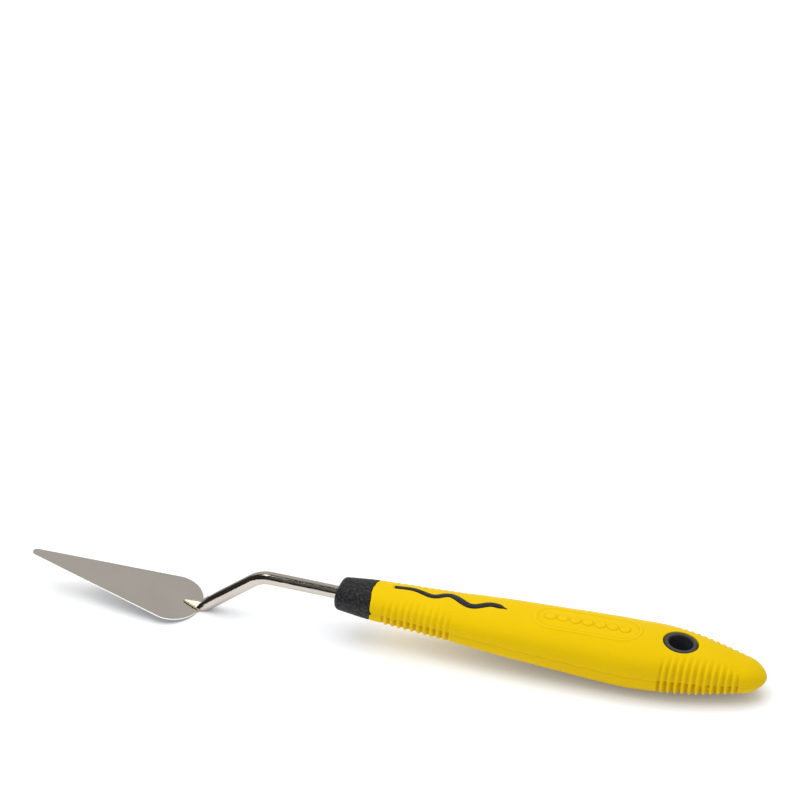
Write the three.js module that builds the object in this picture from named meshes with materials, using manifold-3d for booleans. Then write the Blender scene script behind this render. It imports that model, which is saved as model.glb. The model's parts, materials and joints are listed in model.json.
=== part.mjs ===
// A cranked palette knife: a spring-steel blade brazed to a bent rod, and a hard handle core with a
// soft grip moulded over it.
//
// Millimetres, +Z up, +Y across the tool. The blade tip points to -X and the butt to +X. The tool lies
// on its blade heel and on the belly of its grip, and the origin is the middle of its underside.
//
// The handle and the rod are drawn along the handle, with x = 0 at the nose face and +x to the butt.
// The blade is drawn in its own plane, with x = 0 at the end of its heel and the tip at -x.

import * as THREE from 'three';
import { mergeVertices } from 'three/addons/utils/BufferGeometryUtils.js';
import Module from 'manifold-3d';

const wasm = await Module();
wasm.setup();

const degrees = Math.PI / 180;

// Clearance left between moulded or resting pieces, and the thinner one in the brazed joint.
const GAP = 0.3;
const BRAZE_GAP = 0.15;

// Blade: two straight edges that would meet at a virtual apex, a round tip and an elliptical heel.
const BLADE_THICKNESS = 0.5;
const BLADE_TAPER = 12.5 * degrees; // each edge from the centre line
const APEX_TO_HEEL = 59.8;
const APEX_TO_TIP = 5.9;
const HEEL_LENGTH = 8.8; // heel ellipse, along the blade
const BLADE_ROOT = 6.3; // the free, bending part of the blade starts this far from the heel end

// Rod: straight tang in the handle, one crank, then down to the blade.
const ROD_RADIUS = 2;
const TANG_LENGTH = 48;
const NOSE_TO_CRANK = 24;
const CRANK_TO_HEEL = 23.9;
const CRANK_ANGLE = 39.8 * degrees;
const CRANK_RADIUS = 9;
const BLADE_ANGLE = 8 * degrees; // blade tip up, from the handle's axis
const WING = { x: 37, length: 6, span: 6.4, thickness: 1 }; // crimped ears that key the tang

// Tongue: the rod's end, ground to a pointed wedge that lies on the blade.
const TONGUE_LENGTH = 5.1;
const TONGUE_HALF_WIDTH = 1.95;
const TONGUE_NOSE = 0.3; // half width of its blunt point
const TONGUE_EDGE = 0.5; // thickness at its point
const TONGUE_SLOPE = 11 * degrees; // its ridge
const TONGUE_ROOF = 34 * degrees; // its two top facets, down from the ridge
const SCARF_X = -0.2; // where the ridge meets the steep facet cut into the rod
const SCARF_SLOPE = 57 * degrees;
const TONGUE_BACK = 1.6; // where its flanks end, inside the rod
const BRAZE_THICKNESS = 0.4;
const BRAZE_RIM = 0.6; // how far the braze shows around the tongue

// Handle: superellipse sections, always flatter than wide by one ratio.
const HANDLE_LENGTH = 128.3;
const THICKNESS_RATIO = 0.62;
const SECTION_POWER = 2.6;
const HALF_WIDTHS = [
  [0, 5.9], [11, 7.27], [30, 8.5], [50, 10.1], [70, 11.35], [90, 12.2],
  [100, 11.7], [108, 10.33], [115, 8.65], [121, 6.9], [HANDLE_LENGTH, 4.9],
];
const NOSE_RIM = 1.5; // rounding of the nose face
const BUTT_CAP = 5.8; // length of the rounded butt
const BUTT_RISE = { height: 0.65, from: 85, to: 105 }; // the centre line lifts towards the butt
const NOSE_LENGTH = 10.8; // hard core showing in front of the grip
const GRIP_WALL = 1.4;
const SPINE_END = 121.5;

// Ribs moulded on the grip's flanks; each set leaves the top and the belly smooth out to `bare`.
const RIB_HEIGHT = 0.4;
const RIB_FADE = 1.6;
const FRONT_RIBS = { first: 16.4, pitch: 2.02, count: 10, bare: () => 5.2 };
const REAR_RIBS = {
  first: 100,
  pitch: 1.99,
  count: 11,
  bare: (x) => Math.max(0.6, 9.4 - 0.5 * (x - 100)),
};

// Wave: a rib of the core that shows as an inlay on top of the grip. Turning points in plan.
const WAVE_TURNS = [
  [16.3, 2.2], [22.2, 2.5], [28.4, 0.6], [33.3, 2.6], [40.2, -1.15], [45.8, 1.25], [50.6, 0.35],
];
const WAVE_HALF_WIDTH = 0.95;
const WAVE_PROUD = 0.1;

// Hanging hole, lined by the core.
const HOLE_X = 102.5;
const HOLE_RADIUS = 3.6;
const BUSH_RADIUS = 5.1;
const BUSH_HALF_LENGTH = 6.6;
const BUSH_SLOPE = 6 * degrees; // its ends lean with the grip's surface

const SECTION_SIDES = 32;
const ROUND_SIDES = 24;

const bladeTop = BLADE_THICKNESS / 2;
const brazeBottom = bladeTop + BRAZE_GAP;
const tongueBottom = brazeBottom + BRAZE_THICKNESS + BRAZE_GAP;

// ---- Solids -------------------------------------------------------------------------------------

/** A closed geometry as a solid that can be cut and joined. */
function solid(geometry) {
  const bare = geometry.clone();
  bare.deleteAttribute('normal');
  bare.deleteAttribute('uv');
  const merged = mergeVertices(bare, 1e-4);
  return new wasm.Manifold(new wasm.Mesh({
    numProp: 3,
    vertProperties: new Float32Array(merged.attributes.position.array),
    triVerts: new Uint32Array(merged.index.array),
  }));
}

/** The geometry of a solid. */
function geometryOf(body) {
  const mesh = body.getMesh();
  const geometry = new THREE.BufferGeometry();
  geometry.setAttribute('position', new THREE.BufferAttribute(mesh.vertProperties.slice(), 3));
  geometry.setIndex(new THREE.BufferAttribute(mesh.triVerts.slice(), 1));
  geometry.computeVertexNormals();
  return geometry;
}

/** A closed skin over rings of equal size, with a point or a flat fan at each end. */
function loft(rings, startPoint, endPoint) {
  const size = rings[0].length;
  const points = [...rings.flat(), startPoint, endPoint];
  const start = points.length - 2;
  const end = points.length - 1;
  const lastRing = (rings.length - 1) * size;
  const index = [];
  for (let i = 0; i < size; i++) {
    const next = (i + 1) % size;
    index.push(start, next, i);
    index.push(end, lastRing + i, lastRing + next);
    for (let row = 0; row < lastRing; row += size) {
      index.push(row + i, row + next, row + size + next);
      index.push(row + i, row + size + next, row + size + i);
    }
  }
  const geometry = new THREE.BufferGeometry().setFromPoints(points);
  geometry.setIndex(index);
  return geometry;
}

/** A box given by its lowest and highest corners. */
function block(low, high) {
  const size = high.map((value, i) => value - low[i]);
  const centre = high.map((value, i) => (value + low[i]) / 2);
  return solid(new THREE.BoxGeometry(...size).translate(...centre));
}

/** A prism standing on a plan outline, from one height to another. */
function prism(outline, bottom, top) {
  const shape = new THREE.Shape(outline.map(([x, y]) => new THREE.Vector2(x, y)));
  const geometry = new THREE.ExtrudeGeometry(shape, { depth: top - bottom, bevelEnabled: false });
  return solid(geometry.translate(0, 0, bottom));
}

/** A prism lying across the tool, with its outline in the plane of x and z. */
function crossPrism(outline, halfSpan) {
  const shape = new THREE.Shape(outline.map(([x, z]) => new THREE.Vector2(x, z)));
  const geometry = new THREE.ExtrudeGeometry(shape, { depth: 2 * halfSpan, bevelEnabled: false });
  return solid(geometry.rotateX(Math.PI / 2).translate(0, halfSpan, 0));
}

/** An upright round bar centred on the handle's mid-plane. */
function uprightBar(x, radius, halfLength) {
  const geometry = new THREE.CylinderGeometry(radius, radius, 2 * halfLength, ROUND_SIDES);
  return solid(geometry.rotateX(Math.PI / 2).translate(x, 0, 0));
}

// ---- Handle surface -----------------------------------------------------------------------------

/** Smooth curve y(x) through points, by cubic pieces that share their slopes. */
function smoothThrough(points) {
  const slope = points.map((point, i) => {
    const before = points[Math.max(i - 1, 0)];
    const after = points[Math.min(i + 1, points.length - 1)];
    return (after[1] - before[1]) / (after[0] - before[0]);
  });
  return (x) => {
    const found = points.findIndex((point) => point[0] >= x);
    const i = Math.max(found < 0 ? points.length - 1 : found, 1);
    const [x0, y0] = points[i - 1];
    const [x1, y1] = points[i];
    const span = x1 - x0;
    const t = (x - x0) / span;
    const rise = 3 * t * t - 2 * t * t * t;
    const fromStart = t * (1 - t) * (1 - t);
    const fromEnd = -t * t * (1 - t);
    return y0 + (y1 - y0) * rise + span * (slope[i - 1] * fromStart + slope[i] * fromEnd);
  };
}

const halfWidthAt = smoothThrough(HALF_WIDTHS);

/** Half width, half thickness and centre height of the handle's outer surface at x. */
function handleSection(x) {
  const capStart = HANDLE_LENGTH - BUTT_CAP;
  const intoCap = THREE.MathUtils.clamp((x - capStart) / BUTT_CAP, 0, 1);
  const intoRim = THREE.MathUtils.clamp(NOSE_RIM - x, 0, NOSE_RIM);
  const rimInset = NOSE_RIM - Math.sqrt(NOSE_RIM ** 2 - intoRim ** 2);
  const halfWidth = halfWidthAt(x) * Math.sqrt(1 - intoCap ** 2);
  return {
    halfWidth: halfWidth - rimInset,
    halfThickness: halfWidth * THICKNESS_RATIO - rimInset,
    centre: BUTT_RISE.height * THREE.MathUtils.smoothstep(x, BUTT_RISE.from, BUTT_RISE.to),
  };
}

/** One ring of the handle's surface at x, moved outwards by offset(y), in millimetres. */
function sectionRing(x, offset) {
  const { halfWidth, halfThickness, centre } = handleSection(x);
  const ring = [];
  for (let i = 0; i < SECTION_SIDES; i++) {
    const angle = 2 * Math.PI * i / SECTION_SIDES;
    const across = Math.sign(Math.cos(angle)) * Math.abs(Math.cos(angle)) ** (2 / SECTION_POWER);
    const up = Math.sign(Math.sin(angle)) * Math.abs(Math.sin(angle)) ** (2 / SECTION_POWER);
    const normal = new THREE.Vector2(
      Math.sign(across) * Math.abs(across) ** (SECTION_POWER - 1) / halfWidth,
      Math.sign(up) * Math.abs(up) ** (SECTION_POWER - 1) / halfThickness,
    ).normalize();
    const move = offset(across * halfWidth);
    ring.push(new THREE.Vector3(
      x,
      across * halfWidth + normal.x * move,
      up * halfThickness + normal.y * move + centre,
    ));
  }
  return ring;
}

/** The handle's surface between two stations, as a solid; offset(x, y) moves it outwards. */
function handleSolid(stations, offset) {
  const rings = stations.map((x) => sectionRing(x, (y) => offset(x, y)));
  const middle = (x) => new THREE.Vector3(x, 0, handleSection(x).centre);
  return solid(loft(rings, middle(stations[0]), middle(stations.at(-1))));
}

/** Evenly spaced stations from one x to another, both included. */
function spread(from, to, count) {
  return Array.from({ length: count + 1 }, (_, i) => from + (to - from) * i / count);
}

/** A foot, a crest and a foot for every rib of a set. */
function ribStations({ first, pitch, count }) {
  return spread(first - pitch / 2, first + (count - 0.5) * pitch, 2 * count);
}

/** How far the ribs lift the grip's surface at (x, y). */
function ribLift(x, y) {
  let lift = 0;
  for (const { first, pitch, count, bare } of [FRONT_RIBS, REAR_RIBS]) {
    const turn = (x - first) / pitch;
    if (turn > -0.5 && turn < count - 0.5) {
      const crest = 1 - 2 * Math.abs(turn - Math.round(turn));
      lift += RIB_HEIGHT * crest * THREE.MathUtils.smoothstep(Math.abs(y), bare(x), bare(x) + RIB_FADE);
    }
  }
  return lift;
}

// ---- Handle core and grip -----------------------------------------------------------------------

/** Plan outline of the wave, half as wide as given and pointed at its rear end. */
function waveOutline(halfWidth) {
  const curve = new THREE.SplineCurve(WAVE_TURNS.map(([x, y]) => new THREE.Vector2(x, y)));
  const steps = 36;
  const near = [];
  const far = [];
  for (let i = 0; i <= steps; i++) {
    const point = curve.getPoint(i / steps);
    const along = curve.getTangent(i / steps);
    const across = new THREE.Vector2(-along.y, along.x);
    const width = halfWidth * Math.min(1, 0.35 + 5 * (1 - i / steps));
    near.push(point.clone().addScaledVector(across, -width).toArray());
    far.push(point.clone().addScaledVector(across, width).toArray());
  }
  return [...near, ...far.reverse()];
}

/** A rib standing on the wave's outline and ending on the handle's surface, or clear above it. */
function waveRib(halfWidth, proud) {
  const rib = prism(waveOutline(halfWidth), ROD_RADIUS + GAP + 0.3, 9);
  return proud === null ? rib : rib.intersect(handleSolid(spread(12, 56, 22), () => proud));
}

/** A round bore with room for the tang and its wings. */
function tangBore() {
  const length = TANG_LENGTH + GAP + 1;
  const bore = new THREE.CylinderGeometry(ROD_RADIUS + GAP, ROD_RADIUS + GAP, length, ROUND_SIDES);
  bore.rotateZ(Math.PI / 2).translate(length / 2 - 1, 0, 0);
  return solid(bore).add(tangWings(GAP));
}

/** The tang's crimped wings, grown by a clearance. */
function tangWings(clearance) {
  const half = [WING.length / 2, WING.span / 2, WING.thickness / 2].map((size) => size + clearance);
  return block([WING.x - half[0], -half[1], -half[2]], [WING.x + half[0], half[1], half[2]]);
}

/** The bush that lines the hanging hole, with flat ends that lean with the surface around them. */
function bush() {
  const reach = BUSH_RADIUS + 1;
  const fall = reach * Math.tan(BUSH_SLOPE);
  const { centre } = handleSection(HOLE_X);
  const ends = crossPrism([
    [HOLE_X - reach, centre - BUSH_HALF_LENGTH - fall],
    [HOLE_X + reach, centre - BUSH_HALF_LENGTH + fall],
    [HOLE_X + reach, centre + BUSH_HALF_LENGTH - fall],
    [HOLE_X - reach, centre + BUSH_HALF_LENGTH + fall],
  ], reach);
  return uprightBar(HOLE_X, BUSH_RADIUS, 2 * BUSH_HALF_LENGTH).intersect(ends);
}

/** Hard core: the nose, the spine inside the grip, the wave and the bush of the hanging hole. */
function makeHandleCore() {
  const rim = [0, 0.15, 0.5, 1, NOSE_RIM];
  const nose = handleSolid([...rim, 4, 7, NOSE_LENGTH], () => 0);
  const spine = handleSolid([NOSE_LENGTH / 2, ...spread(NOSE_LENGTH, SPINE_END, 26)], () => -GRIP_WALL);
  return nose
    .add(spine)
    .add(waveRib(WAVE_HALF_WIDTH, WAVE_PROUD))
    .add(bush())
    .subtract(uprightBar(HOLE_X, HOLE_RADIUS, 2 * BUSH_HALF_LENGTH))
    .subtract(tangBore());
}

/** Soft grip: a ribbed shell around the core's spine, open at the front, the wave and the hole. */
function makeGrip() {
  const capStart = HANDLE_LENGTH - BUTT_CAP;
  const cap = [15, 30, 45, 60, 75, 86].map((angle) => capStart + BUTT_CAP * Math.sin(angle * degrees));
  const stations = [
    NOSE_LENGTH + GAP,
    13,
    ...ribStations(FRONT_RIBS),
    ...spread(40, 96, 8),
    ...ribStations(REAR_RIBS),
    ...cap,
  ];
  const cavity = handleSolid([NOSE_LENGTH - 1, ...spread(NOSE_LENGTH, SPINE_END + GAP, 26)],
    () => GAP - GRIP_WALL);
  return handleSolid(stations, ribLift)
    .subtract(cavity)
    .subtract(waveRib(WAVE_HALF_WIDTH + GAP, null))
    .subtract(uprightBar(HOLE_X, BUSH_RADIUS + GAP, 2 * BUSH_HALF_LENGTH));
}

// ---- Rod ----------------------------------------------------------------------------------------

/** A circle of the rod's size around a point of its axis, square to a run that slopes down. */
function rodRing(x, z, slope) {
  const ring = [];
  for (let i = 0; i < ROUND_SIDES; i++) {
    const angle = 2 * Math.PI * i / ROUND_SIDES;
    const lift = ROD_RADIUS * Math.cos(angle);
    ring.push(new THREE.Vector3(
      x - lift * Math.sin(slope),
      ROD_RADIUS * Math.sin(angle),
      z + lift * Math.cos(slope),
    ));
  }
  return ring;
}

/** Place of the heel's end, where the rod's axis meets the blade. */
function heelPlace() {
  return new THREE.Vector3(
    -NOSE_TO_CRANK - CRANK_TO_HEEL * Math.cos(CRANK_ANGLE),
    0,
    -CRANK_TO_HEEL * Math.sin(CRANK_ANGLE),
  );
}

/** The bare cranked rod, running on past the blade so that it can be cut to it. */
function crankedRod() {
  const setback = CRANK_RADIUS * Math.tan(CRANK_ANGLE / 2);
  const rings = [rodRing(TANG_LENGTH, 0, 0)];
  for (const part of spread(0, 1, 8)) {
    const slope = part * CRANK_ANGLE;
    rings.push(rodRing(
      -NOSE_TO_CRANK + setback - CRANK_RADIUS * Math.sin(slope),
      CRANK_RADIUS * (Math.cos(slope) - 1),
      slope,
    ));
  }
  const overrun = 1 + 4 / CRANK_TO_HEEL;
  const heel = heelPlace();
  const x = -NOSE_TO_CRANK + (heel.x + NOSE_TO_CRANK) * overrun;
  const z = heel.z * overrun;
  rings.push(rodRing(x, z, CRANK_ANGLE));
  return solid(loft(rings, new THREE.Vector3(TANG_LENGTH, 0, 0), new THREE.Vector3(x, 0, z)));
}

/** Plan of the tongue in the blade's plane, grown by a rim. */
function tongueOutline(rim, back) {
  const point = -TONGUE_LENGTH - rim;
  const nose = TONGUE_NOSE + rim / 2;
  return [[back, TONGUE_HALF_WIDTH + rim], [point, nose], [point, -nose], [back, -TONGUE_HALF_WIDTH - rim]];
}

/** Turns a solid drawn in the blade's plane into the handle's frame. */
function onBlade(body) {
  const geometry = geometryOf(body);
  const heel = heelPlace();
  return solid(geometry.rotateY(BLADE_ANGLE).translate(heel.x, heel.y, heel.z));
}

/** Height at which the tongue's ridge meets the steep facet. */
const scarfHeight = () => tongueBottom + TONGUE_EDGE + (TONGUE_LENGTH + SCARF_X) * Math.tan(TONGUE_SLOPE);

/** The space above the tongue's two top facets, which meet in a sloping ridge. */
function aboveRidge() {
  const from = -TONGUE_LENGTH - 4;
  const to = TONGUE_BACK + 1;
  const side = 2 * ROD_RADIUS;
  const drop = side * Math.tan(TONGUE_ROOF);
  const outline = [[-side, -drop], [0, 0], [side, -drop], [side, side], [-side, side]];
  const shape = new THREE.Shape(outline.map(([y, z]) => new THREE.Vector2(y, z)));
  const geometry = new THREE.ExtrudeGeometry(shape, { depth: to - from, bevelEnabled: false });
  const climb = new THREE.Vector3(1, 0, Math.tan(TONGUE_SLOPE));
  const lengthwise = new THREE.Matrix4().makeBasis(
    new THREE.Vector3(0, 1, 0), new THREE.Vector3(0, 0, 1), climb,
  );
  const start = scarfHeight() + (from - SCARF_X) * Math.tan(TONGUE_SLOPE);
  return solid(geometry.applyMatrix4(lengthwise).translate(from, 0, start));
}

/** The space ahead of the steep facet. */
function aheadOfScarf() {
  const ahead = TONGUE_LENGTH + 4;
  const height = 5;
  const run = height / Math.tan(SCARF_SLOPE);
  const middle = scarfHeight();
  const outline = [
    [-ahead, middle - height],
    [SCARF_X - run, middle - height],
    [SCARF_X + run, middle + height],
    [-ahead, middle + height],
  ];
  return crossPrism(outline, 2 * ROD_RADIUS);
}

/** Rod: winged tang, crank, and the scarfed tongue that lies on the blade. */
function makeShank() {
  const ground = aboveRidge();
  const tongue = prism(tongueOutline(0, TONGUE_BACK), tongueBottom - 1, scarfHeight()).subtract(ground);
  const below = block([-12, -6, -12], [12, 6, tongueBottom]);
  return crankedRod()
    .add(onBlade(tongue))
    .subtract(onBlade(ground.intersect(aheadOfScarf())))
    .subtract(onBlade(below))
    .add(tangWings(0));
}

/** Braze: the pad of filler between tongue and blade, showing as a rim around the tongue. */
function makeBraze() {
  return prism(tongueOutline(BRAZE_RIM, -0.8), brazeBottom, brazeBottom + BRAZE_THICKNESS);
}

// ---- Blade --------------------------------------------------------------------------------------

/** The whole blade as one flat plate. */
function bladePlate() {
  const taper = Math.tan(BLADE_TAPER);
  const heelCentre = APEX_TO_HEEL - HEEL_LENGTH;
  const heelHalfWidth = taper * Math.sqrt(heelCentre ** 2 - HEEL_LENGTH ** 2);
  const heelTangent = Math.acos(-HEEL_LENGTH / heelCentre);
  const tipRadius = APEX_TO_TIP * Math.sin(BLADE_TAPER) / (1 - Math.sin(BLADE_TAPER));
  const tipStart = Math.PI / 2 + BLADE_TAPER;
  const shape = new THREE.Shape();
  shape.absellipse(-HEEL_LENGTH, 0, HEEL_LENGTH, heelHalfWidth, -heelTangent, heelTangent);
  shape.absarc(APEX_TO_TIP + tipRadius - APEX_TO_HEEL, 0, tipRadius, tipStart, 2 * Math.PI - tipStart);
  const geometry = new THREE.ExtrudeGeometry(shape, {
    depth: BLADE_THICKNESS,
    bevelEnabled: false,
    curveSegments: 20,
  });
  return solid(geometry.translate(0, 0, -BLADE_THICKNESS / 2));
}

/** The blade ahead of the root, or the heel behind it. */
function bladePart(from, to) {
  return bladePlate().intersect(block([from, -20, -1], [to, 20, 1]));
}

// ---- Assembly -----------------------------------------------------------------------------------

function part(name, body, color, roughness, metalness) {
  const mesh = new THREE.Mesh(
    geometryOf(body),
    new THREE.MeshStandardMaterial({ color, roughness, metalness }),
  );
  mesh.name = name;
  return mesh;
}

const handle = new THREE.Group();
handle.add(
  part('handle_core', makeHandleCore(), 0x303032, 0.6, 0),
  part('grip', makeGrip(), 0xf3cb00, 0.5, 0),
  part('shank', makeShank(), 0xd8d4cc, 0.12, 1),
);

const bladeAssembly = new THREE.Group();
bladeAssembly.position.copy(heelPlace());
bladeAssembly.rotation.y = BLADE_ANGLE;
bladeAssembly.add(
  part('blade', bladePart(-APEX_TO_HEEL, -BLADE_ROOT - GAP / 2), 0xa09e98, 0.22, 1),
  part('blade_heel', bladePart(-BLADE_ROOT + GAP / 2, 5), 0xa09e98, 0.22, 1),
  part('braze_fillet', makeBraze(), 0xc9a35a, 0.35, 1),
);
handle.add(bladeAssembly);

/** Lowest point of an object once the handle is tipped to a pitch. */
function lowestAt(pitch, object) {
  handle.rotation.y = pitch;
  handle.updateMatrixWorld();
  return new THREE.Box3().setFromObject(object, true).min.z;
}

// The handle tips, nose up, until the blade's heel and the grip's belly rest on one level.
let pitch = 0;
for (let step = 8 * degrees; step > 1e-7; step /= 2) {
  const tipped = pitch + step;
  if (lowestAt(tipped, bladeAssembly) < lowestAt(tipped, handle.getObjectByName('grip'))) {
    pitch = tipped;
  }
}
handle.rotation.y = pitch;
handle.updateMatrixWorld();
const bounds = new THREE.Box3().setFromObject(handle, true);
handle.position.set(-(bounds.min.x + bounds.max.x) / 2, 0, -bounds.min.z);

const knife = new THREE.Group();
knife.add(handle);

export default knife;
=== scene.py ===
"""A cranked palette knife with a soft-grip handle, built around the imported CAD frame.

Lengths are millimetres, drawn in one of two frames until a piece is placed. In the handle's frame x = 0
is the nose face and +x runs to the butt. In the blade's frame x = 0 is the end of the heel, the tip is
at -x and z = 0 is the middle of the plate. place() turns them into metres in the row frame.
"""

import json
import math

import bmesh
import bpy
import numpy as np
from mathutils import Euler, Matrix, Vector


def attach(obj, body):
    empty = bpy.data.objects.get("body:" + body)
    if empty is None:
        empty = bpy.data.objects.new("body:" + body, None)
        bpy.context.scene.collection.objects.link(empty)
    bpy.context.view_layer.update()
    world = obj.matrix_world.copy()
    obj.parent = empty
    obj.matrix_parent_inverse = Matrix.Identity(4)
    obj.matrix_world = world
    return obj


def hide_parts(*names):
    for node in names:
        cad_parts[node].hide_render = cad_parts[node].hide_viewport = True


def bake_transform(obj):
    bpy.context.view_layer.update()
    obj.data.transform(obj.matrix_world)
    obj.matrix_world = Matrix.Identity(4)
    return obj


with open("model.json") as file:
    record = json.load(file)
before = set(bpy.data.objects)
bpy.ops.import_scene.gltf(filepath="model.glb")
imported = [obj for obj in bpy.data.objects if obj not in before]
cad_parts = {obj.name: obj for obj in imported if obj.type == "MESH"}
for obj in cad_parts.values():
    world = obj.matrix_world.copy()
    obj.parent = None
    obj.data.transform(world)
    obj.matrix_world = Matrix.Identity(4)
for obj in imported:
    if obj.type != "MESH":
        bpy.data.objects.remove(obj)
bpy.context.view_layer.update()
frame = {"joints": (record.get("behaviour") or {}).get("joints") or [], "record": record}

MM = 0.001

# ---- Driving dimensions, the same as the CAD's ---------------------------------------------------

BLADE_THICKNESS = 0.5
BLADE_TAPER = math.radians(12.5)
APEX_TO_HEEL = 59.8
APEX_TO_TIP = 5.9
HEEL_LENGTH = 8.8
BLADE_ROOT = 6.3
BLADE_ANGLE = math.radians(8)

ROD_RADIUS = 2.0
NOSE_TO_CRANK = 24.0
CRANK_TO_HEEL = 23.9
CRANK_ANGLE = math.radians(39.8)
CRANK_RADIUS = 9.0

TONGUE_LENGTH = 5.1
TONGUE_HALF_WIDTH = 1.95
TONGUE_NOSE = 0.3
TONGUE_EDGE = 0.5
TONGUE_SLOPE = math.radians(11)
TONGUE_ROOF = math.radians(34)
TONGUE_BACK = 1.6
SCARF_X = -0.2
SCARF_SLOPE = math.radians(57)

HANDLE_LENGTH = 128.3
THICKNESS_RATIO = 0.62
SECTION_POWER = 2.6
HALF_WIDTHS = [
    (0, 5.9), (11, 7.27), (30, 8.5), (50, 10.1), (70, 11.35), (90, 12.2),
    (100, 11.7), (108, 10.33), (115, 8.65), (121, 6.9), (HANDLE_LENGTH, 4.9),
]
NOSE_RIM = 1.5
BUTT_CAP = 5.8
BUTT_RISE = 0.65
BUTT_RISE_FROM = 85.0
BUTT_RISE_TO = 105.0

WAVE_TURNS = [
    (16.3, 2.2), (22.2, 2.5), (28.4, 0.6), (33.3, 2.6), (40.2, -1.15), (45.8, 1.25), (50.6, 0.35),
]
HOLE_X = 102.5
HOLE_RADIUS = 3.6
BUSH_RADIUS = 5.1
BUSH_HALF_LENGTH = 6.6
BUSH_SLOPE = math.radians(6)

# ---- Places, from the frame ----------------------------------------------------------------------


def mount(name):
    return next(m for m in frame["record"]["mounts"] if m["name"] == name)


def turn(angle):
    """Rotation about the tool's cross axis, as a 4 by 4 matrix."""
    return Matrix.Rotation(angle, 4, "Y")


blade_down = Vector(mount("blade_face")["axis"])
hinge = Vector(frame["joints"][0]["pos_m"])
blade_tilt = math.atan2(-blade_down.x, -blade_down.z)
heel_place = Vector((
    -NOSE_TO_CRANK - CRANK_TO_HEEL * math.cos(CRANK_ANGLE),
    0,
    -CRANK_TO_HEEL * math.sin(CRANK_ANGLE),
))
blade_in_handle = Matrix.Translation(heel_place) @ turn(BLADE_ANGLE)
handle_turn = turn(blade_tilt - BLADE_ANGLE) @ Matrix.Scale(MM, 4)
hinge_in_handle = blade_in_handle @ Vector((-BLADE_ROOT, 0, 0))
HANDLE_FRAME = Matrix.Translation(hinge - handle_turn @ hinge_in_handle) @ handle_turn
BLADE_FRAME = HANDLE_FRAME @ blade_in_handle

# ---- Mesh helpers --------------------------------------------------------------------------------


def smoothstep(value, low, high):
    t = np.clip((value - low) / (high - low), 0.0, 1.0)
    return t * t * (3 - 2 * t)


class Skin:
    """Points and faces of one closed mesh, gathered ring by ring."""

    def __init__(self):
        self.points = []
        self.faces = []
        self.count = 0

    def add(self, points):
        """Adds points of shape (..., 3) and returns their indices in the same shape."""
        points = np.asarray(points, float)
        index = np.arange(self.count, self.count + points[..., 0].size)
        self.points.append(points.reshape(-1, 3))
        self.count += index.size
        return index.reshape(points.shape[:-1])

    def bridge(self, first, second):
        """Quads between two closed rings of indices."""
        quads = np.stack([first, np.roll(first, -1), np.roll(second, -1), second], axis=-1)
        self.faces.extend(quads.tolist())

    def stack(self, rings, closed=False):
        """Quads between each ring and the next, and from the last to the first if closed."""
        for first, second in zip(rings[:-1], rings[1:]):
            self.bridge(first, second)
        if closed:
            self.bridge(rings[-1], rings[0])

    def fan(self, ring, point):
        """Triangles from a ring to one point."""
        centre = int(self.add([point])[0])
        ahead = np.roll(ring, -1)
        self.faces.extend([[int(a), int(b), centre] for a, b in zip(ring, ahead)])

    def build(self, name):
        mesh = bpy.data.meshes.new(name)
        mesh.from_pydata(np.concatenate(self.points).tolist(), [], self.faces)
        work = bmesh.new()
        work.from_mesh(mesh)
        bmesh.ops.recalc_face_normals(work, faces=work.faces)
        work.to_mesh(mesh)
        work.free()
        obj = bpy.data.objects.new(name, mesh)
        bpy.context.scene.collection.objects.link(obj)
        return obj


def place(obj, local_frame, material, sharp_angle=None):
    """Puts a piece in the row frame, with its material; edges over sharp_angle stay crisp."""
    obj.data.transform(local_frame)
    obj.data.materials.clear()
    obj.data.materials.append(material)
    obj.data.shade_smooth()
    if sharp_angle is not None:
        obj.data.set_sharp_from_angle(angle=sharp_angle)
    return obj


def smooth_through(points):
    """Smooth curve y(x) through points, by cubic pieces that share their slopes."""
    xs, ys = np.array(points, float).T
    before = np.maximum(np.arange(len(xs)) - 1, 0)
    after = np.minimum(np.arange(len(xs)) + 1, len(xs) - 1)
    slopes = (ys[after] - ys[before]) / (xs[after] - xs[before])

    def curve(x):
        i = np.clip(np.searchsorted(xs, x), 1, len(xs) - 1)
        span = xs[i] - xs[i - 1]
        t = (x - xs[i - 1]) / span
        rise = 3 * t**2 - 2 * t**3
        bend = slopes[i - 1] * t * (1 - t) ** 2 - slopes[i] * t**2 * (1 - t)
        return ys[i - 1] + (ys[i] - ys[i - 1]) * rise + span * bend

    return curve


# ---- Handle surface ------------------------------------------------------------------------------

half_width_at = smooth_through(HALF_WIDTHS)
SECTION_SIDES = 256
AROUND = 2 * math.pi * (np.arange(SECTION_SIDES) + 0.5) / SECTION_SIDES


def section(x):
    """Half width, half thickness and centre height of the handle's outer surface at x."""
    into_cap = np.clip((x - HANDLE_LENGTH + BUTT_CAP) / BUTT_CAP, 0, 1)
    into_rim = np.clip(NOSE_RIM - x, 0, NOSE_RIM)
    rim_inset = NOSE_RIM - np.sqrt(NOSE_RIM**2 - into_rim**2)
    half_width = half_width_at(x) * np.sqrt(1 - into_cap**2)
    centre = BUTT_RISE * smoothstep(x, BUTT_RISE_FROM, BUTT_RISE_TO)
    return half_width - rim_inset, half_width * THICKNESS_RATIO - rim_inset, centre


def outward(y, z, half_width, half_thickness):
    """Unit normal, in the plane of the section, of the surface at (y, z) from its centre."""
    normal_y = np.sign(y) * np.abs(y / half_width) ** (SECTION_POWER - 1) / half_width
    normal_z = np.sign(z) * np.abs(z / half_thickness) ** (SECTION_POWER - 1) / half_thickness
    length = np.hypot(normal_y, normal_z)
    return normal_y / length, normal_z / length


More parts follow.
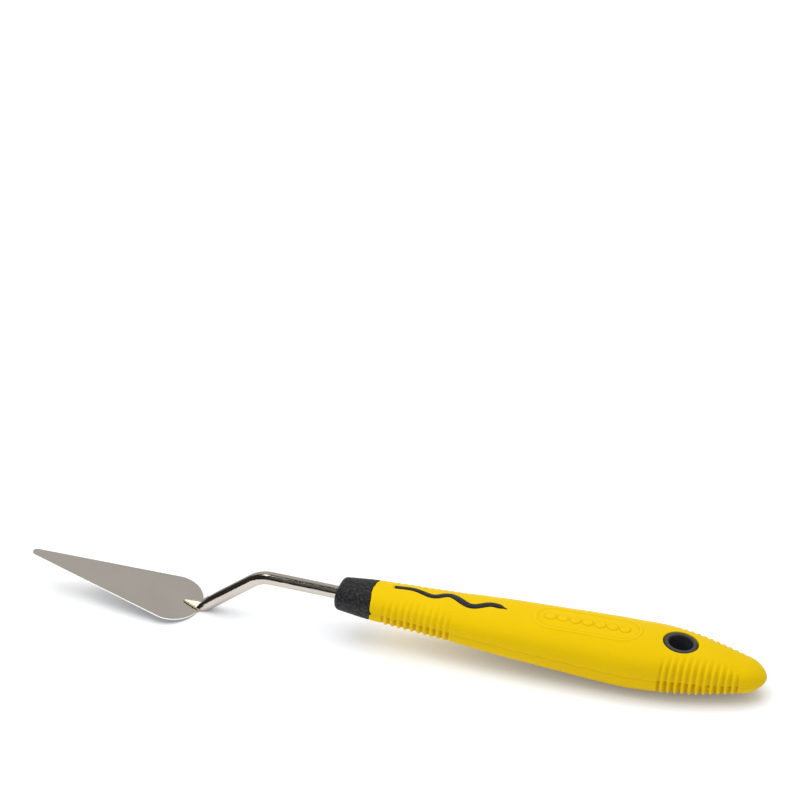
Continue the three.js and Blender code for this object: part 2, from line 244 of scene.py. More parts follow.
def lifted(x, y, z, half_width, half_thickness, relief):
    """The point (y, z) of the section at x, moved out along the surface's normal by the relief."""
    normal_y, normal_z = outward(y, z, half_width, half_thickness)
    lift = relief(x, y, z)
    return y + normal_y * lift, z + normal_z * lift


def surface_ring(x, inset=0.0, relief=None, angles=AROUND):
    """Points of the surface at x (a number or one per angle), moved in by inset and out by relief."""
    x = np.broadcast_to(np.asarray(x, float), angles.shape)
    half_width, half_thickness, centre = section(x)
    half_width = half_width - inset
    half_thickness = half_thickness - inset
    reach = (
        np.abs(np.cos(angles) / half_width) ** SECTION_POWER
        + np.abs(np.sin(angles) / half_thickness) ** SECTION_POWER
    ) ** (-1 / SECTION_POWER)
    y = reach * np.cos(angles)
    z = reach * np.sin(angles)
    if relief is not None:
        y, z = lifted(x, y, z, half_width, half_thickness, relief)
    return np.stack([x, y, z + centre], axis=-1)


def surface_at(x, y, side, relief=None):
    """The point of the top (side = 1) or the belly (side = -1) of the surface over (x, y)."""
    half_width, half_thickness, centre = section(x)
    fill = np.clip(1 - np.abs(y / half_width) ** SECTION_POWER, 0, 1)
    z = side * half_thickness * fill ** (1 / SECTION_POWER)
    if relief is not None:
        y, z = lifted(x, y, z, half_width, half_thickness, relief)
    return np.stack([x, y, z + centre], axis=-1)


# ---- Relief of the grip --------------------------------------------------------------------------

# Moulded ribs with grooves between them. They grow out of the top and the belly towards the flanks, are
# deeper below the parting line, lean towards the butt, and reach closest to the centre plane in the
# middle of a set. "edge" and "end_edge" are the shares of the half width at which a rib starts, in the
# middle and at the ends of its set. "top" is the share of the relief that is left above the parting line.
RIB_HALF_WIDTH = 0.56
RIB_HEIGHT = 0.24
RIB_HEIGHT_MORE_BELOW = 0.14
RIB_FULL_AT = 0.92
RIB_LEAN = 0.05
GROOVE_HALF_WIDTH = 0.85
GROOVE_DEPTH = 0.4
GROOVE_DEPTH_MORE_BELOW = 0.26
FRONT_RIBS = {
    "first": 16.4, "pitch": 2.02, "last": 9, "middle": 4.5,
    "edge": 0.17, "end_edge": 0.45, "relief": 0.85, "top": 0.5,
}
REAR_RIBS = {
    "first": 100.0, "pitch": 1.99, "last": 10, "middle": 6.3,
    "edge": 0.27, "end_edge": 0.6, "relief": 1.0, "top": 0.75,
}

# Raised stadium on top, with plain pips inside.
PLAQUE_CENTRE = (74.9, 0.4)
PLAQUE_HALF_LENGTH = 15.7
PLAQUE_HALF_WIDTH = 5.3
PLAQUE_RIM = 0.16
PLAQUE_RIM_SPREAD = 0.34
PLAQUE_SINK = 0.07
PIP_COUNT = 7
PIP_PITCH = 3.7
PIP_RADIUS = 1.6
PIP_HEIGHT = 0.3
PIP_SHOULDER = 0.45

PARTING_HALF_WIDTH = 0.14
PARTING_HEIGHT = 0.12
PARTING_STEP = 0.14


def rib_lift(x, y, z):
    lift = np.zeros_like(x)
    below = 1 - smoothstep(z, -0.15, 0.15)
    for ribs in (FRONT_RIBS, REAR_RIBS):
        pitch, last, middle = ribs["pitch"], ribs["last"], ribs["middle"]
        step = (x - RIB_LEAN * z - ribs["first"]) / pitch
        from_rib = np.abs(step - np.clip(np.round(step), 0, last)) * pitch
        from_groove = np.abs(step - 0.5 - np.clip(np.round(step - 0.5), -1, last)) * pitch
        ridge = 0.5 + 0.5 * np.cos(np.pi * np.clip(from_rib / RIB_HALF_WIDTH, 0, 1))
        groove = 0.5 + 0.5 * np.cos(np.pi * np.clip(from_groove / GROOVE_HALF_WIDTH, 0, 1))
        from_middle = np.where(step < middle, step / middle, (last - step) / (last - middle)) - 1
        rise = (ribs["end_edge"] - ribs["edge"]) * np.clip(from_middle, -1.2, 1.2) ** 2
        edge = ribs["edge"] + rise
        out = np.clip((np.abs(y) / half_width_at(x) - edge) / (RIB_FULL_AT - edge), 0, 1)
        fade = out**1.5 * ribs["relief"] * (ribs["top"] + (1 - ribs["top"]) * below)
        height = RIB_HEIGHT + RIB_HEIGHT_MORE_BELOW * below
        depth = GROOVE_DEPTH + GROOVE_DEPTH_MORE_BELOW * below
        lift += fade * (ridge * height - groove * depth)
    return lift


def stadium_distance(x, y):
    """Signed distance in plan to the plaque's outline, negative inside."""
    straight = PLAQUE_HALF_LENGTH - PLAQUE_HALF_WIDTH
    along = np.abs(x - PLAQUE_CENTRE[0])
    past = np.maximum(along - straight, 0)
    return np.hypot(past, y - PLAQUE_CENTRE[1]) - PLAQUE_HALF_WIDTH


def plaque_lift(x, y, z):
    away = stadium_distance(x, y)
    rim = PLAQUE_RIM * np.exp(-((away / PLAQUE_RIM_SPREAD) ** 2))
    lift = rim - PLAQUE_SINK * smoothstep(-away, 0.1, 0.7)
    for number in range(PIP_COUNT):
        centre = PLAQUE_CENTRE[0] + (number - (PIP_COUNT - 1) / 2) * PIP_PITCH
        distance = np.hypot(x - centre, y - PLAQUE_CENTRE[1])
        lift += PIP_HEIGHT * (1 - smoothstep(distance, PIP_RADIUS - PIP_SHOULDER, PIP_RADIUS))
    return np.where(z > 0, lift, 0.0)


def catmull_rom(points, steps):
    """Evenly sampled points and unit tangents of a smooth curve through the given points."""
    p = np.array(points, float)
    p = np.vstack([2 * p[0] - p[1], p, 2 * p[-1] - p[-2]])
    spans = len(points) - 1
    t = np.linspace(0, spans, steps)
    i = np.minimum(t.astype(int), spans - 1)
    t = (t - i)[:, None]
    a, b, c, d = p[i], p[i + 1], p[i + 2], p[i + 3]
    place_at = 0.5 * (2 * b + (c - a) * t + (2 * a - 5 * b + 4 * c - d) * t**2
                      + (3 * b - a - 3 * c + d) * t**3)
    tangent = np.gradient(place_at, axis=0)
    return place_at, tangent / np.linalg.norm(tangent, axis=1, keepdims=True)


WAVE_STEPS = 260
WAVE_GROOVE_DEPTH = 0.3
WAVE_POINTS, WAVE_TANGENTS = catmull_rom(WAVE_TURNS, WAVE_STEPS)
WAVE_SHARE = np.linspace(0, 1, WAVE_STEPS)
# Thin and blunt in front, full in the middle, drawn out to a point behind.
WAVE_HALF_WIDTHS = (
    (0.85 + 0.27 * smoothstep(WAVE_SHARE, 0.1, 0.6))
    * np.sqrt(np.clip(1 - (1 - np.clip(WAVE_SHARE / 0.016, 0, 1)) ** 2, 0.04, 1))
    * (1 - 0.86 * smoothstep(WAVE_SHARE, 0.9, 1.0))
)


def wave_groove(x, y, z):
    """The grip dips under the inlay and closes up to it, leaving a hairline round its edge."""
    lift = np.zeros_like(x)
    near = (z > 0) & (x > 14) & (x < 53) & (np.abs(y) < 6)
    if near.any():
        gap = np.hypot(x[near][:, None] - WAVE_POINTS[:, 0], y[near][:, None] - WAVE_POINTS[:, 1])
        outside = (gap - WAVE_HALF_WIDTHS).min(axis=1)
        lift[near] = -WAVE_GROOVE_DEPTH * (1 - smoothstep(outside, 0.02, 0.22))
    return lift


def parting_lift(x, y, z):
    """Fine flash line and a small step down where the mould halves meet, along both flanks."""
    height = z - 0.05 * np.sin(x * 0.9) - 0.04 * np.sin(x * 2.3 + 1)
    flash = PARTING_HEIGHT * np.exp(-((height / PARTING_HALF_WIDTH) ** 2))
    step = PARTING_STEP * (1 - smoothstep(height, -0.15, 0.0)) * smoothstep(z, -3.0, -0.5)
    return flash - step


def slack_lift(x, y, z):
    """Very shallow unevenness of a soft moulding over a hard core, never proud of the true surface."""
    return 0.035 * np.sin(x * 0.21 + 0.4) * np.cos(y * 0.33) + 0.02 * np.sin(x * 0.57 + y * 0.4) - 0.055


def grip_relief(x, y, z):
    return (
        rib_lift(x, y, z)
        + plaque_lift(x, y, z)
        + wave_groove(x, y, z)
        + parting_lift(x, y, z)
        + slack_lift(x, y, z)
    )


# ---- Grip ----------------------------------------------------------------------------------------

GRIP_START = 10.4
GRIP_START_FLANK = 1.0
NOTCH_DEPTH = 0.7
HOLE_GAP = 0.14
HOLE_FILLET = 0.28
# Depth, below the rolled edge, of the last ring on each side; the hole's wall runs straight between them.
HOLE_RING_DEPTH = 1.6
# The grid of the grip is left open round the hole, in a patch this far each way along the handle and this
# far round it from straight up or down.
PATCH_REACH = 6.9
PATCH_ANGLE = math.radians(44)


def boundary(angles):
    """Where the grip starts, round the handle: further back on the flanks, notched at the parting line."""
    flank = np.cos(angles) ** 2
    wobble = 0.05 * np.sin(5 * angles + 0.7) + 0.035 * np.sin(11 * angles) + 0.02 * np.sin(23 * angles)
    notch = NOTCH_DEPTH * np.exp(-(((np.sin(angles) + 0.02) / 0.07) ** 2))
    return GRIP_START + GRIP_START_FLANK * flank + wobble + notch


def grip_stations():
    """Stations behind the lip, closer together where there is relief."""
    fine = 0.21
    return np.concatenate([
        np.arange(0.62, 4.6, 0.4),
        np.arange(4.6, 41.0, fine),
        np.arange(41.0, 59.0, 0.45),
        np.arange(59.0, 124.2, fine),
    ])


def patch_rings(skin, boundary_ring, corner, side):
    """Closes in from a rectangle of the grid to the hole's edge, and rolls over it into the wall."""
    plan = corner[:, :2]
    angle = np.arctan2(plan[:, 1], plan[:, 0] - HOLE_X)
    around = np.stack([np.cos(angle), np.sin(angle)], axis=-1)
    wall = BUSH_RADIUS + HOLE_GAP
    rim = np.array([HOLE_X, 0.0]) + around * (wall + HOLE_FILLET)
    rings = [boundary_ring]
    for share in np.linspace(0, 1, 9)[1:]:
        xy = plan + (rim - plan) * share
        rings.append(skin.add(surface_at(xy[:, 0], xy[:, 1], side, grip_relief)))
    for bend in np.radians([22.5, 45, 67.5, 90]):
        radius = wall + HOLE_FILLET * (1 - math.sin(bend))
        drop = HOLE_FILLET * (1 - math.cos(bend))
        xy = np.array([HOLE_X, 0.0]) + around * radius
        points = surface_at(xy[:, 0], xy[:, 1], side, grip_relief)
        points[:, 2] -= side * drop
        rings.append(skin.add(points))
    points = points.copy()
    points[:, 2] -= side * HOLE_RING_DEPTH
    rings.append(skin.add(points))
    skin.stack(rings)
    return rings[-1]


def rectangle_loop(rows, columns):
    """Grid places along the edge of a rectangle of the grid, in order round it."""
    top = [(rows[0], column) for column in columns]
    right = [(row, columns[-1]) for row in rows[1:]]
    bottom = [(rows[-1], column) for column in columns[-2::-1]]
    left = [(row, columns[0]) for row in rows[-2:0:-1]]
    return np.array(top + right + bottom + left)


def make_grip():
    skin = Skin()
    start = boundary(AROUND)
    lip = [(0.0, 1.7), (0.0, 0.45), (0.03, 0.22), (0.1, 0.08), (0.2, 0.0), (0.36, -0.05)]
    rings = [surface_ring(start + along, inset, slack_lift) for along, inset in lip]
    for station in grip_stations():
        lean = (start - start.min()) * (1 - smoothstep(station, 0.0, 6.0))
        x = start.min() + station + lean if station < 6.0 else np.full_like(start, start.min() + station)
        x = np.minimum(x, HANDLE_LENGTH)
        if x.max() >= HANDLE_LENGTH - BUTT_CAP:
            break
        rise = -0.05 * (1 - smoothstep(station, 0.4, 3.0))
        rings.append(surface_ring(x, rise, grip_relief))
    for angle in np.radians(np.linspace(2, 88.5, 40)):
        x = HANDLE_LENGTH - BUTT_CAP + BUTT_CAP * math.sin(angle)
        rings.append(surface_ring(x, 0.0, grip_relief))
    grid_points = np.array(rings)
    grid = skin.add(grid_points)

    row_x = grid_points[:, 0, 0]
    rows = np.nonzero(np.abs(row_x - HOLE_X) < PATCH_REACH)[0]
    halves = {}
    for side in (1, -1):
        columns = np.nonzero(side * np.sin(AROUND) > math.cos(PATCH_ANGLE))[0]
        if side < 0:
            columns = columns[::-1]
        halves[side] = (rows, columns)
    skip = np.zeros((len(rings), SECTION_SIDES), bool)
    for band, columns in halves.values():
        skip[band[0]:band[-1], min(columns):max(columns)] = True
    ahead = np.roll(grid, -1, axis=1)
    quads = np.stack([grid[:-1], ahead[:-1], ahead[1:], grid[1:]], axis=-1)
    skin.faces.extend(quads[~skip[:-1]].tolist())
    skin.fan(grid[0], [start.mean(), 0, 0])
    skin.fan(grid[-1], [HANDLE_LENGTH, 0, BUTT_RISE])

    walls = []
    for side, (band, columns) in halves.items():
        loop = rectangle_loop(list(band), list(columns))
        ring = grid[loop[:, 0], loop[:, 1]]
        corner = grid_points[loop[:, 0], loop[:, 1]]
        walls.append(patch_rings(skin, ring, corner, side))
    skin.bridge(walls[0], walls[1])
    return skin.build("grip_skin")


# ---- Hard core: nose, wave and bush --------------------------------------------------------------


def circle(x, radius, angles=AROUND):
    """A ring round the handle's axis."""
    return np.stack([np.full_like(angles, x), radius * np.cos(angles), radius * np.sin(angles)], axis=-1)


def nose_unevenness(x, y, z):
    """Coarse part of the eroded mould texture; the fine part is in the material."""
    pattern = np.sin(x * 3.1 + 1.3 * np.sin(y * 1.7)) * np.cos(y * 2.3 + z * 1.9)
    return 0.018 * pattern + 0.012 * np.sin(x * 5.3 + y * 4.1 - z * 4.7)


def make_nose():
    """The nose, from the mouth of the rod's bore to just short of the grip's lip."""
    skin = Skin()
    bore = ROD_RADIUS + 0.06
    bore_depth = 1.4
    mouth = [(bore_depth, 0.0), (0.2, 0.0), (0.05, 0.06), (0.0, 0.2)]
    rings = [circle(x, bore + flare) for x, flare in mouth]
    rim = rings[-1]
    face = surface_ring(0.0)
    for share in (0.35, 0.7):
        rings.append(rim + (face - rim) * share)
    for angle in np.radians(np.linspace(0, 90, 12)):
        rings.append(surface_ring(NOSE_RIM * (1 - math.cos(angle)), 0.0, nose_unevenness))
    end = boundary(AROUND) - 0.07
    for share in np.linspace(0, 1, 64)[1:]:
        x = NOSE_RIM + (end - 0.3 - NOSE_RIM) * share
        rings.append(surface_ring(x, 0.0, nose_unevenness))
    for along, inset in [(-0.2, 0.02), (-0.1, 0.07), (-0.03, 0.16), (0.0, 0.3), (0.0, 1.8)]:
        rings.append(surface_ring(end + along, inset))
    index = [skin.add(ring) for ring in rings]
    skin.stack(index)
    skin.fan(index[0], [bore_depth, 0, 0])
    skin.fan(index[-1], [end.mean(), 0, 0])
    return skin.build("core_nose")


def make_wave():
    """The inlay: a ribbon that follows the top of the handle, with soft shoulders."""
    profile = [(-1, -0.75), (-1, -0.1), (-0.93, 0.0), (-0.75, 0.07), (-0.4, 0.11), (0, 0.12)]
    profile += [(-across, height) for across, height in reversed(profile[:-1])]
    skin = Skin()
    across = np.stack([-WAVE_TANGENTS[:, 1], WAVE_TANGENTS[:, 0]], axis=-1)
    columns = []
    for share, height in profile:
        xy = WAVE_POINTS + across * (WAVE_HALF_WIDTHS * share)[:, None]
        points = surface_at(xy[:, 0], xy[:, 1], 1, slack_lift)
        points[:, 2] += height * (0.4 + 0.6 * smoothstep(WAVE_HALF_WIDTHS, 0.1, 0.4))
        columns.append(points)
    rings = [skin.add(ring) for ring in np.stack(columns, axis=1)]
    skin.stack(rings)
    for ring, at in ((rings[0], 0), (rings[-1], -1)):
        middle = np.mean([column[at] for column in columns], axis=0)
        skin.fan(ring, middle)
    return skin.build("core_wave")


def make_bush():
    """Liner of the hanging hole, with flat ends that lean with the surface."""
    sides = 2 * math.pi * np.arange(96) / 96
    centre = float(section(np.array(HOLE_X))[2])
    half = [
        (HOLE_RADIUS, -4.0), (HOLE_RADIUS, -1.5), (HOLE_RADIUS, -0.6), (HOLE_RADIUS + 0.03, -0.25),
        (HOLE_RADIUS + 0.1, -0.1), (HOLE_RADIUS + 0.22, -0.02), (HOLE_RADIUS + 0.4, 0.0),
        (BUSH_RADIUS - 0.55, 0.0), (BUSH_RADIUS - 0.4, -0.03), (BUSH_RADIUS - 0.28, -0.14),
        (BUSH_RADIUS - 0.2, -0.4), (BUSH_RADIUS - 0.12, -0.9), (BUSH_RADIUS, -1.3), (BUSH_RADIUS, -2.5),
    ]
    rings = []
    for side, profile in ((1, half), (-1, half[::-1])):
        for radius, sink in profile:
            along = radius * np.cos(sides)
            end = BUSH_HALF_LENGTH - along * math.tan(BUSH_SLOPE)
            z = centre + side * (end + sink)
            rings.append(np.stack([HOLE_X + along, radius * np.sin(sides), z], axis=-1))
    skin = Skin()
    skin.stack([skin.add(ring) for ring in rings], closed=True)
    return skin.build("core_bush")


# ---- Rod -----------------------------------------------------------------------------------------

ROD_SIDES = 72
BRAZE_FILM = 0.06
BRAZE_BEAD = 0.34
ROD_BEVEL = 0.08
# How far the tools that cut the tongue reach past it.
CUT_REACH = 4.0


def rod_ring(x, z, slope):
    """A ring round the rod's axis at (x, z), where the rod goes down towards the tip by slope."""
    angle = 2 * math.pi * np.arange(ROD_SIDES) / ROD_SIDES
    lift = ROD_RADIUS * np.cos(angle)
    along = x - lift * math.sin(slope)
    return np.stack([along, ROD_RADIUS * np.sin(angle), z + lift * math.cos(slope)], axis=-1)


def prism(name, outline, low, high, axis):
    """A closed prism along an axis (0, 1 or 2); its outline is in the plane of the other two."""
    skin = Skin()
    rings = []
    for level in (low, high):
        points = np.array([(*corner[:axis], level, *corner[axis:]) for corner in outline], float)
        rings.append(skin.add(points))
    skin.stack(rings)
    skin.faces.extend([rings[0].tolist(), rings[1].tolist()])
    return skin.build(name)


def combine(obj, *steps):
    """Applies boolean steps, each an operation and the object it uses up."""
    for operation, other in steps:
        modifier = obj.modifiers.new(operation.lower(), "BOOLEAN")
        modifier.operation = operation
        modifier.solver = "EXACT"
        modifier.object = other
    mesh = bpy.data.meshes.new_from_object(obj.evaluated_get(bpy.context.evaluated_depsgraph_get()))
    obj.modifiers.clear()
    obj.data = mesh
    for _, other in steps:
        bpy.data.objects.remove(other)
    return obj


def bevel(obj, width, angle):
    """Rounds every edge sharper than an angle, for good."""
    modifier = obj.modifiers.new("bevel", "BEVEL")
    modifier.width = width
    modifier.segments = 3
    modifier.limit_method = "ANGLE"
    modifier.angle_limit = angle
    mesh = bpy.data.meshes.new_from_object(obj.evaluated_get(bpy.context.evaluated_depsgraph_get()))
    obj.modifiers.clear()
    obj.data = mesh
    return obj


def tongue_outline(rim, back, tuck=0.0):
    """Plan of the pointed tongue in the blade's frame, grown by a rim, from one side to the other."""
    point = -TONGUE_LENGTH - rim
    nose = TONGUE_NOSE + rim / 2
    side = TONGUE_HALF_WIDTH + rim
    return [(back, side - tuck), (-0.7, side), (point + 0.12, nose + 0.04), (point, nose - 0.16),
            (point, 0.16 - nose), (point + 0.12, -nose - 0.04), (-0.7, -side), (back, tuck - side)]


def above_ridge(corner):
    """The space above the tongue's two top facets, which meet in a sloping ridge."""
    side = 2 * ROD_RADIUS
    drop = side * math.tan(TONGUE_ROOF)
    outline = [(-side, -drop), (0, 0), (side, -drop), (side, side), (-side, side)]
    space = prism("above", outline, -TONGUE_LENGTH - CUT_REACH, TONGUE_BACK + 1, 0)
    climb = math.tan(TONGUE_SLOPE)
    for vertex in space.data.vertices:
        vertex.co.z += corner + (vertex.co.x - SCARF_X) * climb
    return space


def ahead_of_scarf(corner):
    """The space ahead of the steep facet, which meets the ridge at the height of the corner."""
    ahead = TONGUE_LENGTH + CUT_REACH
    height = 5.0
    run = height / math.tan(SCARF_SLOPE)
    outline = [
        (-ahead, corner - height),
        (SCARF_X - run, corner - height),
        (SCARF_X + run, corner + height),
        (-ahead, corner + height),
    ]
    return prism("ahead", outline, -CUT_REACH, CUT_REACH, 1)


def make_rod():
    """Cranked rod with the scarfed tongue that lies on the blade."""
    skin = Skin()
    setback = CRANK_RADIUS * math.tan(CRANK_ANGLE / 2)
    rings = [rod_ring(x, 0, 0) for x in (1.1, 0.0, -6.0, -12.0, -18.0)]
    for share in np.linspace(0, 1, 28):
        slope = share * CRANK_ANGLE
        x = setback - NOSE_TO_CRANK - CRANK_RADIUS * math.sin(slope)
        rings.append(rod_ring(x, CRANK_RADIUS * (math.cos(slope) - 1), slope))
    for past in (8.0, 14.0, 19.0, CRANK_TO_HEEL + 4):
        x = -NOSE_TO_CRANK - past * math.cos(CRANK_ANGLE)
        rings.append(rod_ring(x, -past * math.sin(CRANK_ANGLE), CRANK_ANGLE))
    index = [skin.add(ring) for ring in rings]
    skin.stack(index)
    skin.fan(index[0], rings[0].mean(axis=0))
    skin.fan(index[-1], rings[-1].mean(axis=0))
    rod = skin.build("rod")
    rod.data.transform(blade_in_handle.inverted())

    bottom = BLADE_THICKNESS / 2 + BRAZE_FILM
    corner = bottom + TONGUE_EDGE + (TONGUE_LENGTH + SCARF_X) * math.tan(TONGUE_SLOPE)
    tongue = prism("tongue", tongue_outline(0, TONGUE_BACK, 0.2), bottom - 1, corner, 2)
    combine(tongue, ("DIFFERENCE", above_ridge(corner)))
    ground = combine(above_ridge(corner), ("INTERSECT", ahead_of_scarf(corner)))
    under = prism("under", [(-12, -6), (12, -6), (12, 6), (-12, 6)], -14, bottom, 2)
    combine(rod, ("UNION", tongue), ("DIFFERENCE", ground), ("DIFFERENCE", under))
    return bevel(rod, ROD_BEVEL, math.radians(24))


def make_braze():
    """Bead of filler round the tongue, thicker in places, sunk into blade and tongue."""
    sides = 14
    height = BLADE_THICKNESS / 2 + 0.05
    corners = np.array(tongue_outline(0.12, 0.35))
    steps = np.concatenate([[0], np.cumsum(np.linalg.norm(np.diff(corners, axis=0), axis=1))])
    along = np.linspace(0, steps[-1], 90)
    path = np.stack([np.interp(along, steps, corners[:, k]) for k in (0, 1)], axis=-1)
    for _ in range(3):
        path[1:-1] = (path[:-2] + 2 * path[1:-1] + path[2:]) / 4
    tangent = np.gradient(path, axis=0)
    tangent /= np.linalg.norm(tangent, axis=1, keepdims=True)
    angle = 2 * math.pi * np.arange(sides) / sides
    skin = Skin()
    rings = []
    for step, (point, ahead) in enumerate(zip(path, tangent)):
        swell = BRAZE_BEAD + 0.05 * math.sin(step * 0.37) + 0.03 * math.sin(step * 1.1 + 2)
        radius = swell * math.sqrt(max(1 - (2 * step / (len(path) - 1) - 1) ** 8, 0.05))
        across = np.array([-ahead[1], ahead[0]])
        xy = point + across * (radius * 1.25 * np.cos(angle))[:, None]
        z = height + radius * np.sin(angle)
        rings.append(skin.add(np.column_stack([xy, z])))
    skin.stack(rings)
    skin.fan(rings[0], [*path[0], height])
    skin.fan(rings[-1], [*path[-1], height])
    return skin.build("braze_bead")


# ---- Blade ---------------------------------------------------------------------------------------


def blade_rim():
    """One edge of the blade in plan, from heel to tip: points and outward normals."""
    taper = math.tan(BLADE_TAPER)
    heel_centre = APEX_TO_HEEL - HEEL_LENGTH
    heel_half_width = taper * math.sqrt(heel_centre**2 - HEEL_LENGTH**2)
    heel_end = math.acos(-HEEL_LENGTH / heel_centre)
    tip_radius = APEX_TO_TIP * math.sin(BLADE_TAPER) / (1 - math.sin(BLADE_TAPER))
    tip_x = APEX_TO_TIP + tip_radius - APEX_TO_HEEL
    angles = heel_end * np.linspace(0, 1, 60) ** 1.25
    heel = np.stack([HEEL_LENGTH * (np.cos(angles) - 1), heel_half_width * np.sin(angles)], axis=-1)
    heel_normal = np.stack([np.cos(angles) / HEEL_LENGTH, np.sin(angles) / heel_half_width], axis=-1)
    heel_normal /= np.linalg.norm(heel_normal, axis=1, keepdims=True)
    side = np.array([-math.sin(BLADE_TAPER), math.cos(BLADE_TAPER)])
    tip_start = np.array([tip_x, 0.0]) + tip_radius * side
    share = np.linspace(0, 1, 110)[1:-1, None]
    straight = heel[-1] + (tip_start - heel[-1]) * share
    turn_to = math.pi - (math.pi / 2 + BLADE_TAPER)
    arc = math.pi / 2 + BLADE_TAPER + turn_to * (1 - (1 - np.linspace(0, 1, 24)) ** 1.4)
    arc_normal = np.stack([np.cos(arc), np.sin(arc)], axis=-1)
    tip = np.array([tip_x, 0.0]) + tip_radius * arc_normal
    points = np.concatenate([heel, straight, tip])
    normals = np.concatenate([heel_normal, np.tile(side, (len(straight), 1)), arc_normal])
    return points, normals


# Where the blade's broken edge meets its flat faces, and the edge's profile from the upper face to the
# lower: how far in from the rim, and height as a share of half the thickness.
FLAT_INSET = 0.2
EDGE_PROFILE = [(0.08, 0.98), (0.025, 0.9), (0.0, 0.74), (0.0, -0.74), (0.025, -0.9), (0.08, -0.98)]


def make_blade():
    """One springy plate with softly broken edges, fine enough to bend."""
    rim, normal = blade_rim()
    half = BLADE_THICKNESS / 2
    inner = rim - normal * FLAT_INSET
    inner[:, 1] = np.maximum(inner[:, 1], 0)
    strips = 14
    skin = Skin()

    def sheet_at(level):
        rows = []
        for x, y in inner[1:-1]:
            across = np.linspace(y, -y, strips + 1)
            rows.append(np.column_stack([np.full(strips + 1, x), across, np.full(strips + 1, level)]))
        return skin.add(np.array(rows))

    closed_rim = np.concatenate([rim, rim[-2:0:-1] * [1, -1]])
    closed_normal = np.concatenate([normal, normal[-2:0:-1] * [1, -1]])
    loops = []
    for inset, share in EDGE_PROFILE:
        plan = closed_rim - closed_normal * inset
        loops.append(skin.add(np.column_stack([plan, np.full(len(plan), share * half)])))
    for level, nearest in ((half, loops[0]), (-half, loops[-1])):
        sheet = sheet_at(level)
        heel = int(skin.add([[inner[0, 0], 0, level]])[0])
        tip = int(skin.add([[inner[-1, 0], 0, level]])[0])
        quads = np.stack([sheet[:-1, :-1], sheet[:-1, 1:], sheet[1:, 1:], sheet[1:, :-1]], axis=-1)
        skin.faces.extend(quads.reshape(-1, 4).tolist())
        for k in range(strips):
            skin.faces.append([heel, int(sheet[0, k + 1]), int(sheet[0, k])])
            skin.faces.append([tip, int(sheet[-1, k]), int(sheet[-1, k + 1])])
        ring = np.concatenate([[heel], sheet[:, 0], [tip], sheet[::-1, -1]])
        skin.bridge(ring, nearest)
    skin.stack(loops)
    return skin.build("blade_plate")


# ---- Materials -----------------------------------------------------------------------------------


class Nodes:
    """Short hand for building a material's nodes."""

    def __init__(self, name):
        self.material = bpy.data.materials.new(name)
        self.material.use_nodes = True
        self.tree = self.material.node_tree
        self.shader = self.tree.nodes["Principled BSDF"]
        coordinates = self.add("ShaderNodeTexCoord")
        self.place = coordinates.outputs["Object"]
        self.facing = coordinates.outputs["Normal"]

    def add(self, kind, **values):
        node = self.tree.nodes.new(kind)
        for key, value in values.items():
            if hasattr(node, key):
                setattr(node, key, value)
            else:
                node.inputs[key.replace("_", " ")].default_value = value
        return node

    def link(self, source, target):
        self.tree.links.new(source, target)

    def stretched(self, scale):
        """Object coordinates, scaled along each axis."""
        mapping = self.add("ShaderNodeMapping")
        mapping.inputs["Scale"].default_value = scale
        self.link(self.place, mapping.inputs["Vector"])
        return mapping.outputs["Vector"]

    def noise(self, scale, detail=3.0, roughness=0.5, distortion=0.0, vector=None):
        node = self.add("ShaderNodeTexNoise", Scale=scale, Detail=detail, Roughness=roughness,
                        Distortion=distortion)
        self.link(vector or self.place, node.inputs["Vector"])
        return node.outputs["Fac"]

    def absolute(self, value):
        node = self.add("ShaderNodeMath", operation="ABSOLUTE")
        self.link(value, node.inputs[0])
        return node.outputs["Value"]

    def ramp(self, value, low, high, to_low=0.0, to_high=1.0):
        node = self.add("ShaderNodeMapRange")
        node.inputs["From Min"].default_value = low
        node.inputs["From Max"].default_value = high
        node.inputs["To Min"].default_value = to_low
        node.inputs["To Max"].default_value = to_high
        self.link(value, node.inputs["Value"])
        return node.outputs["Result"]

    def mix(self, share, first, second):
        """Mixes two colours, each a tuple or a socket, by a socket's share of the second."""
        node = self.tree.nodes.new("ShaderNodeMix")
        node.data_type = "RGBA"
        self.link(share, node.inputs["Factor"])
        for name, colour in (("A", first), ("B", second)):
            socket = next(s for s in node.inputs if s.name == name and s.type == "RGBA")
            if isinstance(colour, tuple):
                socket.default_value = (*colour, 1)
            else:
                self.link(colour, socket)
        return next(s for s in node.outputs if s.type == "RGBA")

    def bump(self, height, distance, strength=1.0, below=None):
        node = self.add("ShaderNodeBump", Strength=strength, Distance=distance)
        self.link(height, node.inputs["Height"])
        if below is not None:
            self.link(below, node.inputs["Normal"])
        return node.outputs["Normal"]

    def finish(self, colour=None, roughness=None, normal=None, **values):
        for name, socket in (("Base Color", colour), ("Roughness", roughness), ("Normal", normal)):
            if socket is not None:
                self.link(socket, self.shader.inputs[name])
        for name, value in values.items():
            self.shader.inputs[name.replace("_", " ")].default_value = value
        return self.material


